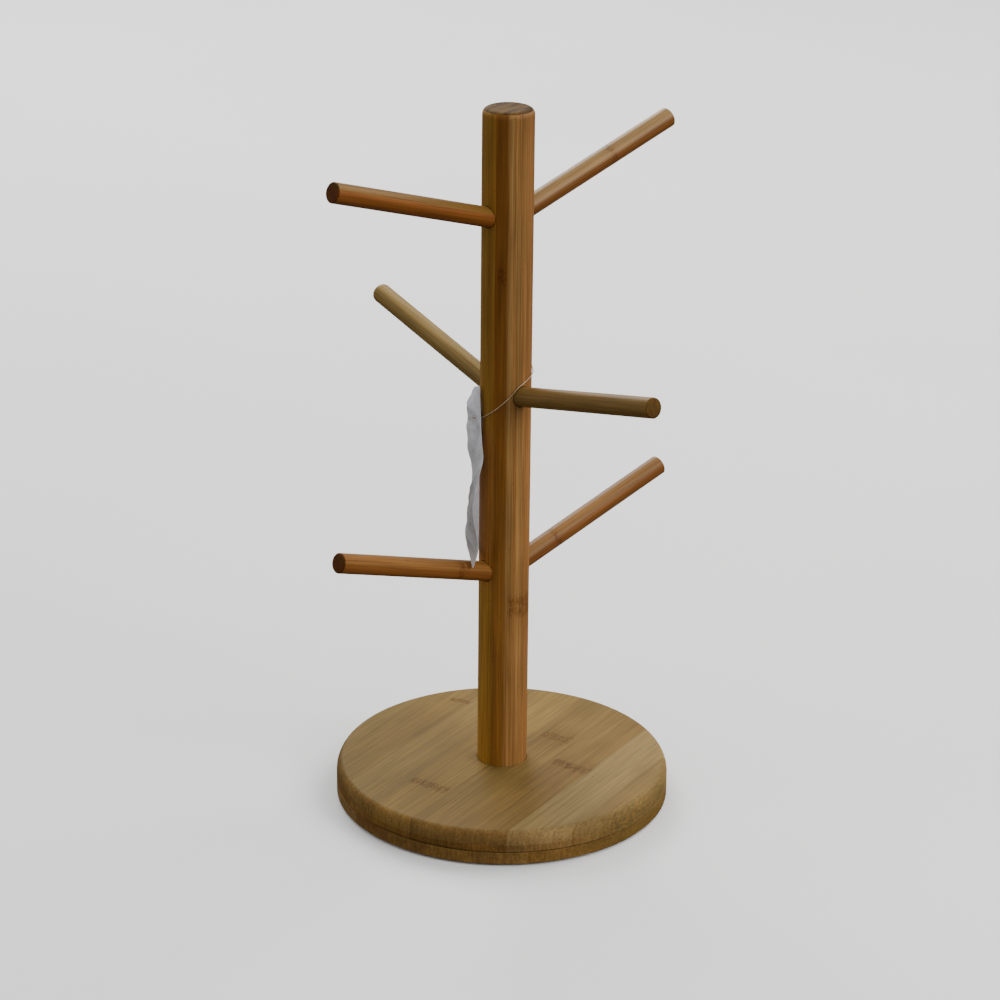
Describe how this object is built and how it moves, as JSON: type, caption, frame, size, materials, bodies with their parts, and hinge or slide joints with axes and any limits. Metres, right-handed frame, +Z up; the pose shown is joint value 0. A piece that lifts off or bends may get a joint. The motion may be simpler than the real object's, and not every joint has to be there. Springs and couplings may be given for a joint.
{
  "type": "mug tree",
  "caption": "Free-standing bamboo mug tree: round two-ply base, turned post and upward-angled peg pairs, with a blank hang tag on a thread loop.",
  "frame": {"origin": "on the post's axis, on the plane that the foot pads stand on", "axes": "+Z up the post; +X along the upper and lower right pegs; +Y along the middle back peg"},
  "size_m": [0.1981, 0.201, 0.34],
  "materials": {
    "base_bamboo": "satin lacquered bamboo board, strips edge-glued",
    "post_bamboo": "satin lacquered carbonised bamboo, laminated strips",
    "peg_bamboo": "satin lacquered bamboo dowel",
    "zinc_steel": "zinc plated",
    "pad_foam": "matt soft foam",
    "clear_nylon": "clear nylon line",
    "tag_paper": "crumpled matt paper, blank"
  },
  "bodies": {
    "stand": {"base_bottom_board": "base_bamboo", "base_top_board": "base_bamboo", "post": "post_bamboo", "peg_upper_left": "peg_bamboo", "peg_upper_right": "peg_bamboo", "peg_middle_back": "peg_bamboo", "peg_middle_front": "peg_bamboo", "peg_lower_left": "peg_bamboo", "peg_lower_right": "peg_bamboo", "base_screw": "zinc_steel", "foot_pad_1": "pad_foam", "foot_pad_2": "pad_foam", "foot_pad_3": "pad_foam", "foot_pad_4": "pad_foam", "tag_loop": "clear_nylon", "loop_knot": "clear_nylon"},
    "tag": {"hang_tag": "tag_paper"}
  },
  "joints": [
    {"name": "tag_swing", "type": "hinge", "parent": "stand", "child": "tag", "pos_m": [-0.01363, 0.00612, 0.1934], "axis": [-0.7694, 0.6388, 0], "range_deg": [0, 60]}
  ]
}
